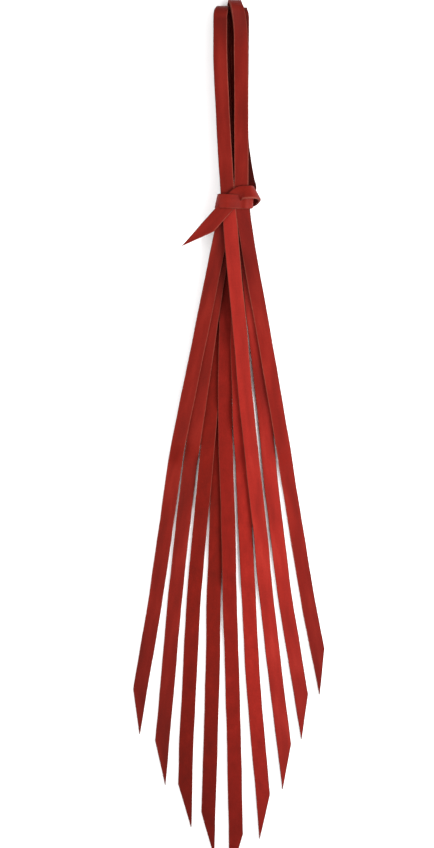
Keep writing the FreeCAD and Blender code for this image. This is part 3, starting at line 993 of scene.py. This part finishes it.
@dataclass
class Knot:
    """The tying end of the inner right lace: once round the bundle and through its own bight.

    Attributes:
        turns: Points of its centre line, in millimetres, with the way that its grain side faces
            there and how much its left and right edges are worn.
        droop: How far the tie end has sunk, as (distance from its joint, drop).
        tie_face: The way that its grain side faces, and how its edges are worn.
    """

    turns: tuple[tuple[Spot, Spot, Pair], ...] = (
        ((9.7, 12.0, 6.1), (0, 0, -1), (0.1, 0.1)),
        ((11.0, 7.2, 6.8), (0.4, 0, -0.92), (0.1, 0.1)),
        ((12.3, 2.6, 9.0), (0.9, -0.1, -0.45), (0.1, 0.1)),
        ((12.6, -0.6, 12.6), (1, -0.1, 0), (0.1, 0.1)),
        ((11.6, -2.2, 16.2), (0.8, -0.1, 0.6), (0.1, 0.1)),
        ((8.8, -2.5, 18.3), (0.2, 0, 0.98), (0.1, 0.1)),
        ((4.5, -2.3, 18.8), (-0.1, 0, 1), (0.1, 0.5)),
        ((-0.5, -2.1, 20.0), (-0.05, 0, 1), (0.1, 0.5)),
        ((-6.0, -1.9, 20.7), (-0.1, 0, 1), (0, 0.1)),
        ((-10.4, -1.8, 19.3), (-0.6, 0.05, 0.8), (0, 0.1)),
        ((-12.6, -2.0, 15.2), (-0.95, 0.18, 0.3), (0.1, 0.1)),
        ((-13.0, -2.1, 9.0), (-0.98, 0.2, 0), (0.1, 0.1)),
        ((-12.3, -2.2, 4.2), (-0.85, 0.1, -0.5), (0.3, 0.3)),
        ((-9.0, -2.3, 1.75), (-0.2, 0, -1), (0.3, 0.3)),
        ((0, -2.3, 1.35), (0, 0, -1), (0.3, 0.3)),
        ((7.0, -1.9, 1.5), (0.05, 0, -1), (0.3, 0.3)),
        ((12.4, -0.6, 3.0), (0.6, 0.1, -0.8), (0.3, 0.3)),
        ((15.3, 1.8, 7.2), (0.88, 0.35, -0.3), (0.3, 0.3)),
        ((15.7, 3.4, 12.0), (0.85, 0.52, 0.05), (0.2, 0.5)),
        ((15.0, 4.4, 16.6), (0.74, 0.52, 0.42), (0.1, 0.9)),
        ((12.8, 4.7, 19.7), (0.4, 0.52, 0.75), (0, 1)),
        ((8.8, 4.6, 20.8), (0.05, 0.52, 0.85), (0, 1)),
        ((4.6, 4.2, 20.0), (-0.05, 0.35, 0.94), (0, 0.6)),
        ((0.4, 1.8, 18.6), (0, 0, 1), (0, 0)),
        ((-4.6, -4.0, 18.4), (0, 0, 1), (0, 0.2)),
    )
    droop: tuple[Pair, ...] = ((0.0, 0.0), (9.0, 0.2), (20.0, 0.9), (38.9, 2.6))
    tie_face: tuple[Spot, Pair] = ((0.0, 0.0, 1.0), (0.1, 1.0))
    tie_cut: float = 23.9  # length of its slanted cut
    step: float = 1.0  # between the points of its line
    seed: int = 15
    swell: Drift = Drift(20, 0.1, 50.0)  # of its edges
    start_painted_shade: Pair = (16.0, 6.0)  # end of the painted shade inside the stack, and its fade
    bend: Pair = (2.5, 14.0)  # start and end of its bend, past its joint

    def _end(self) -> tuple[np.ndarray, np.ndarray]:
        """Return the root and the direction of the tie end, from its joint."""
        joint = joint_of("tie_end")
        return np.array(joint["pos_m"]) / MM, np.cross(UP, np.array(joint["axis"]))

    def ribbon(self, stock: Stock) -> Ribbon:
        """Lay the lace round the bundle and out at the lower left."""
        root, away = self._end()
        rows = [spot + face + wear for spot, face, wear in self.turns]
        face, wear = self.tie_face
        for reach, drop in self.droop:
            spot = root + away * reach - UP * drop
            rows.append(tuple(spot) + face + wear)
        line = spline_through(np.array(rows, dtype=float), self.step)
        centres, faces = line[:, :3], unit(line[:, 3:6])
        across = unit(np.cross(faces, np.gradient(centres, axis=0)))
        along = distances(centres)
        half = stock.width / 2 + self.swell.along(along, self.seed)
        cut = np.clip((along - along[-1] + self.tie_cut) / self.tie_cut, 0, 1)
        narrow = half - cut * (2 * half - TIP_WIDTH)
        # Painted shade: darker where the lace starts inside the stack.
        end, fade = self.start_painted_shade
        return Ribbon("knot_lace", stock, centres, across, half, narrow, self.seed,
                      painted_shade=np.clip((end - along) / fade, 0, 1),
                      wear=np.clip(line[:, 6:], 0, 1))

    def make(self, stock: Stock, wardrobe: Wardrobe) -> Piece:
        """Build and dress the knot, and hide the CAD parts that it replaces."""
        piece = self.ribbon(stock).build()
        wardrobe.dress(piece, DyeAndLight.EVEN)
        root, away = self._end()
        start, end = ((root + away * reach) * MM for reach in self.bend)
        tuple(start)
        tuple(end)
        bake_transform(piece)
        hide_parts("knot_wrap", "tie_riser", "tie_neck", "tie_end")
        return piece


# Studio ------------------------


@dataclass(frozen=True)
class Lamp:
    """A square soft lamp, in metres and watts."""

    name: str
    place: Spot
    size: float
    power: float


@dataclass
class Studio:
    """A plain pale floor, soft light from above and a camera looking straight down."""

    frame_height: float = 627.5  # what the picture takes in, top to bottom, in millimetres
    frame_centre: Pair = (-13.3, -166.5)
    camera_height: float = 8000.0
    camera_range: float = 100.0  # how far the camera sees, in metres
    sensor: float = 36.0  # height of the camera's sensor
    floor_size: float = 6.0  # in metres
    floor_colour: str = "FAFAFA"
    glow: float = 1.0  # strength of the surround
    lamps: tuple[Lamp, ...] = (Lamp("key", (0.6, -0.15, 0.6), 0.5, 12.4),
                               Lamp("fill", (-0.6, -0.2, 0.7), 0.7, 5.0))

    def floor(self) -> None:
        """Lay the floor."""
        half = self.floor_size / 2
        mesh = bpy.data.meshes.new("floor")
        corners = [(-half, -half, 0), (half, -half, 0), (half, half, 0), (-half, half, 0)]
        mesh.from_pydata(corners, [], [(0, 1, 2, 3)])
        piece = bpy.data.objects.new("floor", mesh)
        bpy.context.scene.collection.objects.link(piece)
        material, tree = blank_material("matt_white_backdrop_paper")
        shader = add_node(tree, "BsdfPrincipled",
                          {"Base Color": linear(self.floor_colour), "Roughness": 0.9,
                           "Specular IOR Level": 0.1})
        add_node(tree, "OutputMaterial", links={"Surface": shader.outputs["BSDF"]})
        mesh.materials.append(material)

    def hang(self, lamp: Lamp) -> None:
        """Hang a lamp that faces the middle of the tassel."""
        light = bpy.data.lights.new(lamp.name, "AREA")
        light.size = lamp.size
        light.energy = lamp.power
        piece = bpy.data.objects.new(lamp.name, light)
        piece.location = lamp.place
        target = np.array([self.frame_centre[0] * MM, self.frame_centre[1] * MM, 0.0])
        aim = Vector(target - np.array(lamp.place))
        piece.rotation_euler = aim.to_track_quat("-Z", "Y").to_euler()
        piece.visible_camera = False
        bpy.context.scene.collection.objects.link(piece)

    def light(self) -> None:
        """Set the lamps and a dim, even surround."""
        world = bpy.data.worlds.new("surround")
        world.use_nodes = True
        tree = world.node_tree
        tree.nodes.clear()
        glow = add_node(tree, "Background", {"Color": linear("FFFFFF"), "Strength": self.glow})
        add_node(tree, "OutputWorld", links={"Surface": glow.outputs["Background"]})
        bpy.context.scene.world = world
        for lamp in self.lamps:
            self.hang(lamp)

    def camera(self) -> None:
        """Set the camera over the middle of the picture."""
        lens = bpy.data.cameras.new("camera")
        lens.sensor_fit = "VERTICAL"
        lens.sensor_height = self.sensor
        lens.lens = self.sensor * self.camera_height / self.frame_height
        lens.clip_end = self.camera_range
        piece = bpy.data.objects.new("camera", lens)
        piece.location = (self.frame_centre[0] * MM, self.frame_centre[1] * MM,
                          self.camera_height * MM)
        bpy.context.scene.collection.objects.link(piece)
        bpy.context.scene.camera = piece

    def make(self) -> None:
        """Set the whole studio."""
        self.floor()
        self.light()
        self.camera()
        bpy.context.scene.view_settings.view_transform = "Standard"


# Whole tassel ------------------------


def report(pieces: Sequence[Piece]) -> None:
    """Log each piece and its number of faces."""
    for piece in pieces:
        LOG.info("%s: %d faces", piece.name, len(piece.data.polygons))


def main() -> None:
    """Build the tassel around the frame, and log each piece's number of faces."""
    logging.basicConfig(level=logging.INFO, format="%(message)s")
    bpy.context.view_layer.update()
    Studio().make()
    stock = Stock.from_frame()
    wardrobe = Wardrobe()
    fan = Fan()
    report(fan.make(stock, wardrobe))
    report(Stacks(fan).make(stock, wardrobe))
    report([Knot().make(stock, wardrobe)])


if __name__ == "__main__":
    main()
